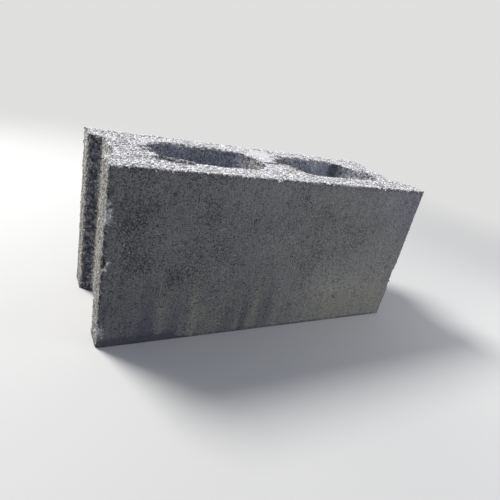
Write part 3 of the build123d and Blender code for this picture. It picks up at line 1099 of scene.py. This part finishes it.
def loose_grain():
    """Grains of sand and crushed stone in cement: each its own tone, from dark to nearly white."""
    material, tree, place = new_material("loose_grain")
    tone = field(tree, "tone")
    dark = colour_mix(tree, tone, *GRAIN_GREYS)
    base = colour_mix(tree, field(tree, "bed"), dark, colour_mix(tree, tone, *GRAIN_PALES))
    sand = cloud(tree, place, 1500, 2, 0.6)
    base = multiplied(tree, base, between(tree, sand, 0.3, 0.7, 0.75, 1.25))
    bump = node(tree, "ShaderNodeBump", {"Height": sand, "Distance": 0.0004, "Strength": 0.6})
    finished(tree, base, between(tree, sand, 0.3, 0.7, 0.6, 0.85), bump.outputs[0], 0.4)
    return material


# Studio: floor, world, lamps and camera

BACKDROP = (0.74, 0.74, 0.735, 1)
FLOOR_SEEN = (0.55, 0.55, 0.545, 1)
FLOOR_BOUNCE = (0.25, 0.25, 0.25, 1)
FLOOR_RINGS = [0.3, 1.0, 3.0, 9.0, 40.0]
FLOOR_FADE = (0.42, 1.3)  # radii between which the floor fades into the backdrop
FLOOR_SIDES = 64
FILL = (0.88, 0.94, 1.12, 1)
FILL_LEVEL = 0.37

# Disc lamps as name, place, level at the block, size and tint
LAMPS = [("key_lamp", (-0.82, 0.93, 1.66), 1.40, 0.65, (1.0, 0.985, 0.955)),
         ("side_lamp", (-1.15, 0.90, 0.25), 0.42, 0.6, (1.0, 0.93, 0.80)),
         ("right_lamp", (0.60, -0.48, 0.19), 0.43, 0.4, (1.0, 0.99, 0.95))]

# Camera as fitted to the block's edges: its place, the way that it looks, how far it is rolled in
# degrees, and its focal length and film width in millimetres
CAMERA_PLACE = (-0.2681, -0.4221, 0.2820)
CAMERA_LOOK = (0.4972, 0.7761, -0.3879)
CAMERA_ROLL = 13.05
FOCAL_LENGTH = 29.56
FILM_WIDTH = 36


def seen_straight(tree):
    """1 for rays from the camera or off glossy and clear surfaces, and 0 for diffuse ones."""
    ray = node(tree, "ShaderNodeLightPath")
    both = maths(tree, "MAXIMUM", ray.outputs["Is Camera Ray"], ray.outputs["Is Glossy Ray"])
    return maths(tree, "MAXIMUM", both, ray.outputs["Is Transmission Ray"])


def studio_floor():
    """Flat disc under the block: radius times (cos, sin) of the turn, on z = 0. Its edge fades into
    the backdrop's colour."""
    material, tree, place = new_material("studio_floor")
    seen = seen_straight(tree)
    radius = node(tree, "ShaderNodeVectorMath", {0: place}, operation="LENGTH").outputs["Value"]
    colour = colour_mix(tree, seen, FLOOR_BOUNCE, FLOOR_SEEN)
    matte = node(tree, "ShaderNodeBsdfDiffuse", {"Color": colour})
    glow = node(tree, "ShaderNodeEmission", {"Color": BACKDROP})
    far = times(tree, between(tree, radius, *FLOOR_FADE), seen)
    mixed = node(tree, "ShaderNodeMixShader", {0: far, 1: matte.outputs[0], 2: glow.outputs[0]})
    node(tree, "ShaderNodeOutputMaterial", {"Surface": mixed.outputs[0]})

    turn = np.linspace(0, 2 * pi, FLOOR_SIDES, endpoint=False)
    turn, radius = np.meshgrid(turn, FLOOR_RINGS)
    ring = np.stack([radius * np.cos(turn), radius * np.sin(turn), 0 * turn], -1).reshape(-1, 3)
    sides = [(k, (k + 1) % FLOOR_SIDES) for k in range(FLOOR_SIDES)]
    faces = [(inner + a, inner + FLOOR_SIDES + a, inner + FLOOR_SIDES + b, inner + b)
             for inner in range(0, len(ring) - FLOOR_SIDES, FLOOR_SIDES) for a, b in sides]
    faces += [(len(ring), a, b) for a, b in sides]
    mesh = bpy.data.meshes.new("studio_floor")
    mesh.from_pydata(np.concatenate([ring, [[0, 0, 0]]]), [], faces)
    mesh.materials.append(material)
    floor = bpy.data.objects.new("studio_floor", mesh)
    bpy.context.scene.collection.objects.link(floor)
    return floor


def studio_light():
    """Key lamp from behind on the left, a warm one low on the left, a weak one in front on the
    right, and a cool even fill from the world. A disc lamp of power pi^2 d^2 W at distance d
    lights a facing white surface to 1."""
    world = bpy.data.worlds.new("studio")
    world.use_nodes = True
    tree = world.node_tree
    tree.nodes.clear()
    fill = node(tree, "ShaderNodeBackground", {"Color": FILL, "Strength": FILL_LEVEL})
    backdrop = node(tree, "ShaderNodeBackground", {"Color": BACKDROP, "Strength": 1.0})
    inputs = {0: seen_straight(tree), 1: fill.outputs[0], 2: backdrop.outputs[0]}
    mixed = node(tree, "ShaderNodeMixShader", inputs)
    node(tree, "ShaderNodeOutputWorld", {"Surface": mixed.outputs[0]})
    bpy.context.scene.world = world

    middle = Vector((0, 0, HEIGHT * MM / 2))
    for name, place, level, size, tint in LAMPS:
        way = Vector(place) - middle
        lamp = bpy.data.lights.new(name, "AREA")
        lamp.shape = "DISK"
        lamp.size = size
        lamp.energy = level * pi**2 * way.length_squared
        lamp.color = tint
        made = bpy.data.objects.new(name, lamp)
        made.location = place
        made.rotation_euler = way.to_track_quat("Z", "Y").to_euler()
        bpy.context.scene.collection.objects.link(made)


def photo_camera():
    """Camera at the photo's place, looking the same way and rolled as it was."""
    lens = bpy.data.cameras.new("camera")
    lens.lens = FOCAL_LENGTH
    lens.sensor_width = FILM_WIDTH
    camera = bpy.data.objects.new("camera", lens)
    camera.location = CAMERA_PLACE
    aimed = Vector(CAMERA_LOOK).to_track_quat("-Z", "Y")
    camera.rotation_mode = "QUATERNION"
    camera.rotation_quaternion = aimed @ Quaternion((0, 0, 1), radians(CAMERA_ROLL))
    bpy.context.scene.collection.objects.link(camera)
    bpy.context.scene.camera = camera


skin, *sorts = skin_and_grains()
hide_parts("concrete_block")
for made in (skin, *sorts):
    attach(made, "root")
studio_floor()
studio_light()
photo_camera()

bpy.context.scene.view_settings.view_transform = "Standard"
